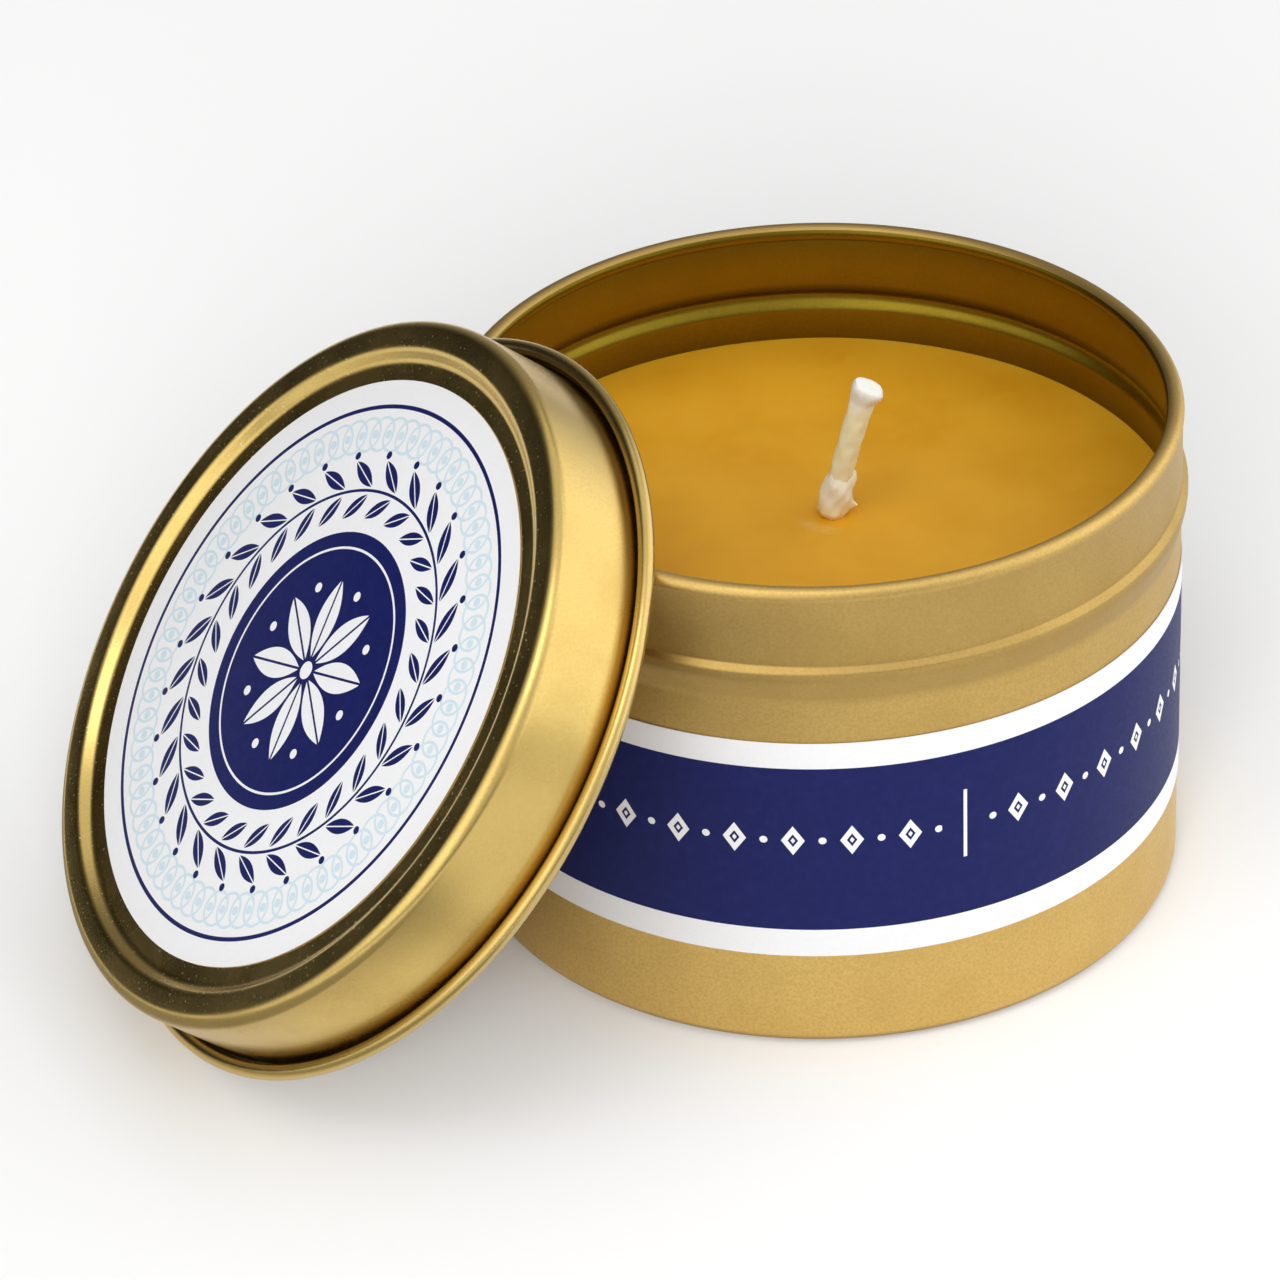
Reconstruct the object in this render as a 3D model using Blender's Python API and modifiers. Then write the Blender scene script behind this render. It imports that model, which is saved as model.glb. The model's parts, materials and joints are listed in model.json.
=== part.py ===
"""Round candle tin, open, with its slip lid leaning on the rim.

A seamless tinplate body is filled with wax round a braided wick. A tinned tab holds the foot of the wick, and an
adhesive dot holds the tab to the base. A paper band wraps the wall, and a paper disc lies in the lid's panel.

Metres, +Z up. The origin is the centre of the tin's base on the table, and the viewer stands at -Y.
"""

import math

import bpy

# Sheet metal and clearances
TINPLATE = 0.00025
FLAT_GAP = 0.0001
NEST_GAP = 0.00015
WICK_GAP = 0.0003
LEAN_GAP = 0.00012

# Tin body
TIN_RADIUS = 0.0390
TIN_HEIGHT = 0.0565
BOTTOM_ROUND = 0.0016
NECK_DEPTH = 0.0090
RIM_ROLL = 0.00097
RIM_PROUD = 0.00012
RIM_ROLL_END = math.radians(250)
BEAD_OUT = 0.00065
BEAD_LEDGE = 0.0006
BEAD_CREST = 0.0005
BEAD_FADE = 0.0038

# Wax, wick, wick tab and its adhesive dot
WAX_BELOW_RIM = 0.01515
WICK_X = 0.0017
WICK_Y = 0.0016
WICK_RADIUS = 0.0015
WICK_TIP_RADIUS = 0.0018
WICK_STICK_OUT = 0.0160
WICK_LEAN = 0.0039
TAB_RADIUS = 0.0100
TAB_NECK = 0.0060
DOT_RADIUS = 0.0095
DOT_THICKNESS = 0.0008

# Paper labels
PAPER = 0.0001
PAPER_GAP = 0.00005
BAND_BELOW_BEAD = 0.0044
BAND_HEIGHT = 0.0266
BAND_SEAM_FACET = 10
LID_LABEL_MARGIN = 0.00215

# Lid
LID_CLEARANCE = 0.00043
LID_DEPTH = 0.01195
LID_CORNER = 0.0012
LID_CURL = 0.00134
LID_CURL_END = math.radians(130)
LID_RING = 0.00355
LID_STEP_RUN = 0.0011
LID_STEP_DROP = 0.0012
LEAN_HEADING = math.radians(-155.625)
LEAN_TILT = math.radians(39.905)

# Facets
SEGMENTS = 60
ROLL_STEP = math.radians(40)
SMALL_SEGMENTS = 24
WICK_POINTS = 7
WICK_BEND = 1.2

# Sizes that follow from those above
LID_SKIRT = TIN_RADIUS + LID_CLEARANCE + TINPLATE
LID_CURL_CENTRE = LID_SKIRT - TINPLATE + LID_CURL
LID_PANEL_TOP = LID_DEPTH - LID_STEP_DROP
LID_PANEL_RADIUS = LID_SKIRT - LID_RING - LID_STEP_RUN
BEAD_TOP = TIN_HEIGHT - NECK_DEPTH
BEAD_FOOT = BEAD_TOP - BEAD_LEDGE - BEAD_CREST - BEAD_FADE
BAND_TOP = BEAD_FOOT - BAND_BELOW_BEAD
WAX_LEVEL = TIN_HEIGHT - WAX_BELOW_RIM
RIM_ROLL_CENTRE = TIN_RADIUS + RIM_PROUD - RIM_ROLL
RIM_ROLL_HEIGHT = TIN_HEIGHT - RIM_ROLL
DOT_TOP = TINPLATE + FLAT_GAP + DOT_THICKNESS
TAB_TOP = DOT_TOP + FLAT_GAP + TINPLATE
TAB_NECK_RADIUS = WICK_RADIUS + WICK_GAP + TINPLATE
TAB_NECK_TOP = TAB_TOP + TAB_NECK


def clear_scene():
    for thing in list(bpy.data.objects):
        bpy.data.objects.remove(thing, do_unlink=True)


def new_collection(name):
    collection = bpy.data.collections.new(name)
    bpy.context.scene.collection.children.link(collection)
    return collection


def finish(name, colour, roughness, metallic=0.0):
    material = bpy.data.materials.new(name)
    material.use_nodes = True
    shader = material.node_tree.nodes["Principled BSDF"]
    shader.inputs["Base Color"].default_value = (*colour, 1.0)
    shader.inputs["Roughness"].default_value = roughness
    shader.inputs["Metallic"].default_value = metallic
    return material


def arc(centre, radius, start, end, step=ROLL_STEP):
    """Points (radius, height) round a centre, from angle start to angle end, both included."""
    count = max(1, round(abs(end - start) / step))
    angles = (start + (end - start) * i / count for i in range(count + 1))
    return [(centre[0] + radius * math.cos(a), centre[1] + radius * math.sin(a)) for a in angles]


def turned(name, collection, material, profile, segments=SEGMENTS, facets=None, sheet=0.0):
    """A profile of (radius, height) points swept round Z; a sheet is the outer skin with its thickness inside."""
    mesh = bpy.data.meshes.new(name)
    edges = [(i, i + 1) for i in range(len(profile) - 1)]
    mesh.from_pydata([(radius, 0.0, height) for radius, height in profile], edges, [])
    mesh.materials.append(material)
    piece = bpy.data.objects.new(name, mesh)
    collection.objects.link(piece)
    facets = segments if facets is None else facets
    sweep = piece.modifiers.new("Sweep", "SCREW")
    sweep.axis = "Z"
    sweep.angle = math.tau * facets / segments
    sweep.steps = sweep.render_steps = facets if facets < segments else segments
    sweep.use_merge_vertices = True
    sweep.merge_threshold = 0.000001
    sweep.use_smooth_shade = True
    if sheet:
        wall = piece.modifiers.new("Wall", "SOLIDIFY")
        wall.thickness = sheet
        wall.offset = -1.0
        wall.use_even_offset = True
    return piece


def tin_body(collection, material):
    """One drawn sheet: an inward rolled rim, a straight neck, the stop bead, the wall and a flat base."""
    meets_neck = -math.acos((TIN_RADIUS - RIM_ROLL_CENTRE) / RIM_ROLL)
    crest = BEAD_TOP - BEAD_LEDGE
    profile = arc((RIM_ROLL_CENTRE, RIM_ROLL_HEIGHT), RIM_ROLL, RIM_ROLL_END, meets_neck)
    profile += [
        (TIN_RADIUS, BEAD_TOP),
        (TIN_RADIUS + BEAD_OUT, crest),
        (TIN_RADIUS + BEAD_OUT, crest - BEAD_CREST),
        (TIN_RADIUS, BEAD_FOOT),
    ]
    profile += arc((TIN_RADIUS - BOTTOM_ROUND, BOTTOM_ROUND), BOTTOM_ROUND, 0.0, -math.pi / 2)
    profile += [(0.0, 0.0)]
    return turned("tin_body", collection, material, profile, sheet=TINPLATE)


def wick_mould(collection, material):
    """The space that the dot, the tab and the wick take up inside the wax."""
    foot = max(DOT_RADIUS, TAB_RADIUS) + NEST_GAP
    neck = TAB_NECK_RADIUS + NEST_GAP
    bore = WICK_RADIUS + WICK_GAP
    over = WAX_LEVEL + WICK_STICK_OUT
    profile = [
        (0.0, over),
        (bore, over),
        (bore, TAB_NECK_TOP + FLAT_GAP),
        (neck, TAB_NECK_TOP + FLAT_GAP),
        (neck, TAB_TOP + FLAT_GAP),
        (foot, TAB_TOP + FLAT_GAP),
        (foot, 0.0),
        (0.0, 0.0),
    ]
    mould = turned("wick_mould", collection, material, profile, segments=SMALL_SEGMENTS)
    mould.location = (WICK_X, WICK_Y, 0.0)
    mould.hide_render = True
    mould.display_type = "WIRE"
    return mould


def wax_fill(collection, material, mould):
    """Wax poured to its level, a hair clear of the wall, with the wick's space left in it."""
    radius = TIN_RADIUS - TINPLATE - NEST_GAP
    foot = TINPLATE + FLAT_GAP
    chamfer = BOTTOM_ROUND
    profile = [
        (0.0, WAX_LEVEL),
        (radius, WAX_LEVEL),
        (radius, foot + chamfer),
        (radius - chamfer, foot),
        (0.0, foot),
    ]
    wax = turned("wax_fill", collection, material, profile)
    hollow = wax.modifiers.new("Wick space", "BOOLEAN")
    hollow.operation = "DIFFERENCE"
    hollow.solver = "EXACT"
    hollow.object = mould
    return wax


def wick_path():
    """Straight up out of the tab to the wax, then leaning over to the right in an easy bend."""
    points = [(WICK_X, WICK_Y, DOT_TOP + FLAT_GAP), (WICK_X, WICK_Y, WAX_LEVEL)]
    for i in range(1, WICK_POINTS):
        along = i / (WICK_POINTS - 1)
        lean = WICK_LEAN * along ** WICK_BEND
        points.append((WICK_X + lean, WICK_Y, WAX_LEVEL + WICK_STICK_OUT * along))
    return points


def wick(collection, material):
    curve = bpy.data.curves.new("wick", "CURVE")
    curve.dimensions = "3D"
    curve.bevel_depth = WICK_RADIUS
    curve.bevel_resolution = 2
    curve.use_fill_caps = True
    path = wick_path()
    spline = curve.splines.new("POLY")
    spline.points.add(len(path) - 1)
    for point, place in zip(spline.points, path):
        point.co = (*place, 1.0)
    spline.points[-1].radius = WICK_TIP_RADIUS / WICK_RADIUS
    spline.use_smooth = True
    curve.materials.append(material)
    piece = bpy.data.objects.new("wick", curve)
    collection.objects.link(piece)
    return piece


def wick_tab(collection, material):
    """A pressed disc with a drawn neck that grips the wick's foot."""
    profile = [(TAB_NECK_RADIUS, TAB_NECK_TOP), (TAB_NECK_RADIUS, TAB_TOP), (TAB_RADIUS, TAB_TOP)]
    tab = turned("wick_tab", collection, material, profile, segments=SMALL_SEGMENTS, sheet=TINPLATE)
    tab.location = (WICK_X, WICK_Y, 0.0)
    return tab


def adhesive_dot(collection, material):
    bpy.ops.mesh.primitive_cylinder_add(
        vertices=SMALL_SEGMENTS,
        radius=DOT_RADIUS,
        depth=DOT_THICKNESS,
        location=(WICK_X, WICK_Y, DOT_TOP - DOT_THICKNESS / 2),
    )
    return placed("adhesive_dot", collection, material)


def placed(name, collection, material):
    """Names the primitive just added and moves it to its collection."""
    piece = bpy.context.object
    piece.name = piece.data.name = name
    for other in list(piece.users_collection):
        other.objects.unlink(piece)
    collection.objects.link(piece)
    piece.data.materials.append(material)
    piece.data.shade_smooth()
    piece.data.set_sharp_from_angle(angle=math.radians(30))
    return piece


def side_label(collection, material):
    """A paper band round the wall, one facet short of a full turn, so that its ends stay open at the back."""
    radius = TIN_RADIUS + PAPER_GAP + PAPER
    profile = [(radius, BAND_TOP), (radius, BAND_TOP - BAND_HEIGHT)]
    band = turned("side_label", collection, material, profile, facets=SEGMENTS - 1, sheet=PAPER)
    band.rotation_euler.z = math.tau * BAND_SEAM_FACET / SEGMENTS
    return band


def lid(collection, material):
    """One pressed sheet: a sunk panel, a raised ring, a round corner, a skirt and an outward curl."""
    step_top = LID_SKIRT - LID_RING
    corner = (LID_SKIRT - LID_CORNER, LID_DEPTH - LID_CORNER)
    curl = (LID_CURL_CENTRE, LID_CURL)
    profile = [(0.0, LID_PANEL_TOP), (LID_PANEL_RADIUS, LID_PANEL_TOP), (step_top, LID_DEPTH)]
    profile += arc(corner, LID_CORNER, math.pi / 2, 0.0)
    profile += arc(curl, LID_CURL - TINPLATE, -math.pi, LID_CURL_END)
    return turned("lid", collection, material, profile, sheet=TINPLATE)


def lid_label(collection, material):
    bpy.ops.mesh.primitive_cylinder_add(
        vertices=SEGMENTS,
        radius=LID_PANEL_RADIUS - LID_LABEL_MARGIN,
        depth=PAPER,
        location=(0.0, 0.0, LID_PANEL_TOP + PAPER_GAP + PAPER / 2),
    )
    return placed("lid_label", collection, material)


def least_gap(distance):
    """How near the rolled rim comes to the inside of a lid whose centre stands this far out from the tin's axis."""
    sine, cosine = math.sin(LEAN_TILT), math.cos(LEAN_TILT)
    height = LID_CURL_CENTRE * cosine + LID_CURL * (1 - sine)
    nearest = TIN_RADIUS
    for round_tin in range(91):
        turn = math.radians(round_tin)
        for round_roll in range(0, 360, 15):
            roll = math.radians(round_roll)
            radius = RIM_ROLL_CENTRE + RIM_ROLL * math.cos(roll)
            ahead = radius * math.cos(turn) - distance
            aside = radius * math.sin(turn)
            above = RIM_ROLL_HEIGHT + RIM_ROLL * math.sin(roll) - height
            depth = ahead * cosine + above * sine
            out = math.hypot(aside, above * cosine - ahead * sine)
            gap = math.hypot(out - LID_CURL_CENTRE, depth - LID_CURL) - LID_CURL
            if depth > LID_CURL:
                gap = min(gap, LID_SKIRT - TINPLATE - out)
            nearest = min(nearest, gap)
    return nearest


def lean_distance():
    """The distance at which the rim just clears the lid on both sides, found by halving."""
    near, far = TIN_RADIUS * 0.5, TIN_RADIUS + LID_SKIRT
    for _ in range(24):
        middle = (near + far) / 2
        if least_gap(middle) < LEAN_GAP:
            near = middle
        else:
            far = middle
    return far


def lowest_point(piece):
    bpy.context.view_layer.update()
    shaped = piece.evaluated_get(bpy.context.evaluated_depsgraph_get())
    return min((shaped.matrix_world @ vertex.co).z for vertex in shaped.data.vertices)


def lean_lid(collection, pieces):
    """Parents the lid's pieces to an empty on the lid's axis, turns it to its lean and stands it on the table."""
    stand = bpy.data.objects.new("lid_axis", None)
    collection.objects.link(stand)
    for piece in pieces:
        piece.parent = stand
    out = lean_distance()
    stand.location = (out * math.cos(LEAN_HEADING), out * math.sin(LEAN_HEADING), 0.0)
    stand.rotation_euler = (0.0, math.pi / 2 - LEAN_TILT, LEAN_HEADING)
    stand.location.z = -lowest_point(pieces[0])


def main():
    clear_scene()
    parts = new_collection("candle_tin")
    cutters = new_collection("candle_tin_cutters")
    gold = finish("gold_tinplate", (0.62, 0.43, 0.15), 0.34, 1.0)
    wax = finish("yellow_wax", (0.66, 0.33, 0.05), 0.45)
    cotton = finish("wick_cotton", (0.90, 0.80, 0.58), 0.85)
    tinned = finish("tinned_steel", (0.70, 0.70, 0.70), 0.35, 1.0)
    adhesive = finish("adhesive_foam", (0.85, 0.85, 0.82), 0.80)
    band_paper = finish("band_paper", (0.03, 0.03, 0.12), 0.50)
    disc_paper = finish("disc_paper", (0.90, 0.91, 0.94), 0.50)
    tin_body(parts, gold)
    wax_fill(parts, wax, wick_mould(cutters, wax))
    wick(parts, cotton)
    wick_tab(parts, tinned)
    adhesive_dot(parts, adhesive)
    side_label(parts, band_paper)
    lean_lid(parts, [lid(parts, gold), lid_label(parts, disc_paper)])


main()
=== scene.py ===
"""Gold candle tin with its wax, wick, paper labels and leaning lid, on a pale table in soft light."""

import json
import math

import bpy
from mathutils import Matrix, Vector


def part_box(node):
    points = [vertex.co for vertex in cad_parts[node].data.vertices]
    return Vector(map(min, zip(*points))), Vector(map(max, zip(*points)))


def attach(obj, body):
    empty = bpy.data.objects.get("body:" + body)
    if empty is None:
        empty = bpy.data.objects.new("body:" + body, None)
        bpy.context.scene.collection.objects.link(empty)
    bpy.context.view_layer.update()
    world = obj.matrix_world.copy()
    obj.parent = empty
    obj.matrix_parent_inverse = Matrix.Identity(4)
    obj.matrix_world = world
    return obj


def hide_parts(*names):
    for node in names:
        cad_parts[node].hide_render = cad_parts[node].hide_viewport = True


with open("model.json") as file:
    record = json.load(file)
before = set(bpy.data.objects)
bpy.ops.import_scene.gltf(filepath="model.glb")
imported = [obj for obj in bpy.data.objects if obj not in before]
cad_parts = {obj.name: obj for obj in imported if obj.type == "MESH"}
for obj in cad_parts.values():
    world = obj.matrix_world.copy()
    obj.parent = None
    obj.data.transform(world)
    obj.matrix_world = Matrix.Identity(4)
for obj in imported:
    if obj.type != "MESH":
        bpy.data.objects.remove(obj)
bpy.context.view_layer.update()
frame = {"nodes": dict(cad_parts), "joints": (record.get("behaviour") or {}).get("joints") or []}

# The tin's sheet metal, in metres
TINPLATE = 0.00025
TIN_RADIUS = 0.0390
TIN_HEIGHT = 0.0565
TIN_WALL_SPOT = 0.030
BOTTOM_ROUND = 0.0016
BOTTOM_RING = TIN_RADIUS * 0.9
RIM_ROLL = 0.00097
RIM_PROUD = 0.00012
RIM_ROLL_END = math.radians(250)
NECK_FOOT_RUN = 0.003
BEAD_TOP = 0.0475
BEAD_TOP_ROUND = 0.0003
BEAD_LEDGE = 0.0006
BEAD_OUT = 0.00065
BEAD_CREST_ROUND = 0.0004
BEAD_CREST_HEIGHT = 0.0467
BEAD_CREST_FOOT = BEAD_CREST_HEIGHT - 0.0004
BEAD_FOOT = 0.0426
GROOVE_TOP = 0.04775
GROOVE_CREST = 0.04685
GROOVE_FOOT = 0.0449
GROOVE_DEPTH = 0.0007
GROOVE_MARGIN = 0.0005
INSIDE_TOP = TIN_HEIGHT - 0.35 * RIM_ROLL
FLOOR_FACING = 0.5

# The lid's sheet metal
LID_SKIRT = 0.03968
LID_SKIRT_MIDDLE = 0.0050
LID_SKIRT_ROUND = 0.0003
LID_WALL_SPOT = 0.006
LID_DEPTH = 0.01195
LID_CORNER = 0.0015
LID_HEM_MIDDLE = (0.04096, 0.00086)
LID_HEM_START = LID_HEM_MIDDLE[0] - 0.0004
LID_HEM_ROLL = 0.00061
LID_HEM_END = math.radians(172)
LID_STEP_TOP = 0.03613
LID_PANEL_RADIUS = 0.03503
LID_PANEL_TOP = 0.01075
LID_STEP_ROUND = 0.0011

# Wax and wick
WAX_LEVEL = 0.04135
WAX_FOOT = 0.00035
WAX_RADIUS = 0.03878
WAX_FOOT_SLANT = 0.0016
WAX_SKIN = 0.0001
WAX_MENISCUS = 0.00022
WAX_MENISCUS_REACH = 0.0007
WAX_DISH = 0.00018
WAX_DISH_REACH = 0.0042
WAX_WAVE = 0.00003
WAX_WAVE_ALONG = (260, 1.1)
WAX_WAVE_ACROSS = (210, 0.4)
WICK_X = 0.0017
WICK_Y = 0.0016
WICK_FOOT = 0.00125
WICK_RADIUS = 0.00134
WICK_TIP_RADIUS = 0.0019
WICK_STICK_OUT = 0.0156
WICK_LEAN = 0.0039
WICK_BEND = 1.2

# Paper
PAPER = 0.0001
PAPER_GAP = 0.00005
BAND_TOP = 0.0382
BAND_BOTTOM = 0.0116
BAND_NAVY_TOP = 0.03511
BAND_NAVY_BOTTOM = 0.01495
BAND_RADIUS = TIN_RADIUS + PAPER_GAP + PAPER
BAND_GAP_MIDDLE = math.radians(57)
BAND_TURN = math.radians(354)
BAND_START = BAND_GAP_MIDDLE - (math.tau - BAND_TURN) / 2
LID_LABEL_RADIUS = 0.03288
LID_LABEL_EDGE = 0.00003

# How finely turned pieces are made
TURN_STEPS = 240
BAND_STEPS = 236
WAX_STEPS = 160
SLEEVE_STEPS = 72
RIM_POINTS = 36
BEAD_POINTS = 30
BOTTOM_POINTS = 10
CORNER_POINTS = 12
SKIRT_POINTS = 8
HEM_POINTS = 20
WAX_POINTS = 48
BAND_POINTS = 8
SEED_PLANE = 0.002
MERGE = 0.000001

# The lid's own frame: its axis from the joint, its foot from the middle of its label,
# lifted a hair so that no point of the hem dips below the table
LID_LIFT = 0.000032
LID_AXIS = Vector(frame["joints"][0]["axis"]).normalized()
LID_HEADING = math.atan2(LID_AXIS.y, LID_AXIS.x)
LID_TILT = math.asin(LID_AXIS.z)
LID_TURN = (0.0, math.pi / 2 - LID_TILT, LID_HEADING)
label_low, label_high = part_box("lid_label")
LID_FOOT = (label_low + label_high) / 2 - LID_AXIS * (LID_PANEL_TOP + PAPER_GAP + PAPER / 2)
LID_FOOT.z += LID_LIFT


def deselect_all():
    if bpy.context.object and bpy.context.object.mode != "OBJECT":
        bpy.ops.object.mode_set(mode="OBJECT")
    bpy.ops.object.select_all(action="DESELECT")


def select_only(piece):
    deselect_all()
    piece.select_set(True)
    bpy.context.view_layer.objects.active = piece


def arc(centre, radius, start, end, count):
    """Points (radius, height) round a centre, both ends included."""
    angles = (start + (end - start) * i / count for i in range(count + 1))
    return [(centre[0] + radius * math.cos(a), centre[1] + radius * math.sin(a)) for a in angles]


def rounded(corners, count=6):
    """A line through (radius, height, rounding) corners, each corner eased by its rounding."""
    line = []
    for i, (x, z, ease) in enumerate(corners):
        if ease == 0.0 or i in (0, len(corners) - 1):
            line.append((x, z))
            continue
        here = Vector((x, z))
        back = (Vector(corners[i - 1][:2]) - here).normalized()
        ahead = (Vector(corners[i + 1][:2]) - here).normalized()
        half = back.angle(ahead) / 2
        reach = ease / math.tan(half)
        middle = here + (back + ahead).normalized() * (ease / math.sin(half))
        start = here + back * reach - middle
        sweep = -start.angle_signed(here + ahead * reach - middle)
        for k in range(count + 1):
            turn = sweep * k / count
            line.append(
                (
                    middle.x + start.x * math.cos(turn) - start.y * math.sin(turn),
                    middle.y + start.x * math.sin(turn) + start.y * math.cos(turn),
                )
            )
    return line


def drawn_line(name, points):
    """A plane shrunk to one point and pulled along the profile, left in edit mode as a line of edges."""
    deselect_all()
    bpy.ops.mesh.primitive_plane_add(size=SEED_PLANE, location=(0.0, 0.0, 0.0))
    piece = bpy.context.object
    piece.name = piece.data.name = name
    bpy.ops.object.mode_set(mode="EDIT")
    bpy.ops.mesh.select_all(action="SELECT")
    bpy.ops.mesh.merge(type="CENTER")
    bpy.ops.transform.translate(value=(points[0][0], 0.0, points[0][1]))
    for (x0, z0), (x1, z1) in zip(points, points[1:]):
        bpy.ops.mesh.extrude_region_move(TRANSFORM_OT_translate={"value": (x1 - x0, 0.0, z1 - z0)})
    return piece


def turned(name, points, turn=math.tau, steps=TURN_STEPS):
    """The drawn line swept round Z, its seam and pole closed and its faces turned outwards."""
    piece = drawn_line(name, points)
    bpy.ops.mesh.select_all(action="SELECT")
    bpy.ops.mesh.spin(steps=steps, angle=turn, center=(0.0, 0.0, 0.0), axis=(0.0, 0.0, 1.0))
    bpy.ops.mesh.select_all(action="SELECT")
    bpy.ops.mesh.remove_doubles(threshold=MERGE)
    bpy.ops.mesh.normals_make_consistent(inside=False)
    bpy.ops.object.mode_set(mode="OBJECT")
    return piece


def face_out(piece, height):
    """Turns an open sheet over if its wall at this height faces the axis."""
    wall = min(piece.data.polygons, key=lambda face: abs(face.center.z - height) - face.center.xy.length)
    if wall.normal.xy.dot(wall.center.xy) < 0:
        select_only(piece)
        bpy.ops.object.mode_set(mode="EDIT")
        bpy.ops.mesh.select_all(action="SELECT")
        bpy.ops.mesh.flip_normals()
        bpy.ops.object.mode_set(mode="OBJECT")


def thickened(piece, thickness):
    """Gives an open sheet its thickness on the inner side."""
    select_only(piece)
    bpy.ops.object.modifier_add(type="SOLIDIFY")
    wall = piece.modifiers[-1]
    wall.thickness = thickness
    wall.offset = -1.0
    wall.use_even_offset = True
    bpy.ops.object.modifier_apply(modifier=wall.name)


def smoothed(piece, angle=40):
    select_only(piece)
    bpy.ops.object.shade_smooth_by_angle(angle=math.radians(angle))


def leaned(piece):
    """Moves a piece made upright in the lid's own frame to where the lid leans."""
    select_only(piece)
    piece.rotation_euler = LID_TURN
    piece.location = LID_FOOT
    bpy.ops.object.transform_apply(location=True, rotation=True, scale=True)


def finished(piece, material, body, node):
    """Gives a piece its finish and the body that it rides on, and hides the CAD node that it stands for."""
    piece.data.materials.clear()
    piece.data.materials.append(material)
    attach(piece, body)
    if node:
        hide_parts(node)


class NodeSheet:
    """A short way to lay out the nodes of one tree."""

    def __init__(self, tree):
        self.tree = tree

    def node(self, kind, **settings):
        made = self.tree.nodes.new(kind)
        for setting, value in settings.items():
            setattr(made, setting, value)
        return made

    def plug(self, value, socket):
        """Links a socket, or sets a plain value."""
        if isinstance(value, bpy.types.NodeSocket):
            self.tree.links.new(value, socket)
        else:
            socket.default_value = value

    def place(self, location=(0.0, 0.0, 0.0), rotation=(0.0, 0.0, 0.0)):
        """Object coordinates, seen from a frame at this place and turn."""
        coordinates = self.node("ShaderNodeTexCoord")
        mapping = self.node("ShaderNodeMapping", vector_type="TEXTURE")
        mapping.inputs["Location"].default_value = location
        mapping.inputs["Rotation"].default_value = rotation
        self.plug(coordinates.outputs["Object"], mapping.inputs["Vector"])
        return mapping.outputs["Vector"]

    def noise(self, where, scale, detail=2.0, roughness=0.5):
        noise = self.node("ShaderNodeTexNoise")
        noise.inputs["Scale"].default_value = scale
        noise.inputs["Detail"].default_value = detail
        noise.inputs["Roughness"].default_value = roughness
        self.plug(where, noise.inputs["Vector"])
        return noise.outputs["Fac"]

    def calc(self, operation, *values):
        step = self.node("ShaderNodeMath", operation=operation)
        for value, socket in zip(values, step.inputs):
            self.plug(value, socket)
        return step.outputs["Value"]

    def spread(self, value, low, high, to_low, to_high):
        """Maps a value from one range to another, held at the ends."""
        step = self.node("ShaderNodeMapRange")
        for socket, number in zip(step.inputs, (value, low, high, to_low, to_high)):
            self.plug(number, socket)
        return step.outputs["Result"]

    def mix(self, share, first, second):
        """A colour between two colours."""
        step = self.node("ShaderNodeMix", data_type="RGBA")
        self.plug(share, step.inputs["Factor"])
        colours = [socket for socket in step.inputs if socket.type == "RGBA"]
        for value, socket in zip((first, second), colours):
            self.plug(value if isinstance(value, bpy.types.NodeSocket) else (*value, 1.0), socket)
        return next(socket for socket in step.outputs if socket.type == "RGBA")

    def facing(self, direction, towards):
        """How far a direction points towards another, from -1 to 1."""
        step = self.node("ShaderNodeVectorMath", operation="DOT_PRODUCT")
        self.plug(direction, step.inputs[0])
        step.inputs[1].default_value = Vector(towards).normalized()
        return step.outputs["Value"]

    def any_of(self, *masks):
        """Where at least one of the masks is set."""
        joined = masks[0]
        for mask in masks[1:]:
            joined = self.calc("MAXIMUM", joined, mask)
        return joined

    def squares(self, x, y):
        """The square of the distance from 0."""
        return self.calc("ADD", self.calc("MULTIPLY", x, x), self.calc("MULTIPLY", y, y))

    def polar(self, where):
        """Distance from Z, angle round it and height along it."""
        split = self.node("ShaderNodeSeparateXYZ")
        self.plug(where, split.inputs["Vector"])
        x, y = split.outputs["X"], split.outputs["Y"]
        reach = self.calc("SQRT", self.squares(x, y))
        return reach, self.calc("ARCTAN2", y, x), split.outputs["Z"]

    def repeat(self, angle, count, shift=0.0):
        """The angle from the nearest of a number of even divisions."""
        part = self.calc("ADD", self.calc("MULTIPLY", angle, count / math.tau), shift + count)
        return self.calc("MULTIPLY", self.calc("SUBTRACT", self.calc("FRACT", part), 0.5), math.tau / count)

    def round_spot(self, across, along, radius):
        return self.calc("LESS_THAN", self.squares(across, along), radius * radius)

    def round_line(self, across, along, radius, half_width):
        reach = self.calc("SQRT", self.squares(across, along))
        return self.calc("COMPARE", reach, radius, half_width)

    def leaf(self, across, along, turn, half_length, half_width, vein=0.0):
        """A pointed leaf, with an open line along its middle if it has a vein."""
        c, s = math.cos(turn), math.sin(turn)
        x = self.calc("ADD", self.calc("MULTIPLY", across, c), self.calc("MULTIPLY", along, s))
        y = self.calc("SUBTRACT", self.calc("MULTIPLY", along, c), self.calc("MULTIPLY", across, s))
        reach = self.calc("DIVIDE", x, half_length)
        narrowing = self.calc("SUBTRACT", 1.0, self.calc("MULTIPLY", reach, reach))
        edge = self.calc("MULTIPLY", narrowing, half_width)
        side = self.calc("ABSOLUTE", y)
        shape = self.calc("LESS_THAN", side, edge)
        if vein:
            shape = self.calc("MULTIPLY", shape, self.calc("GREATER_THAN", side, vein))
        return shape


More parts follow.
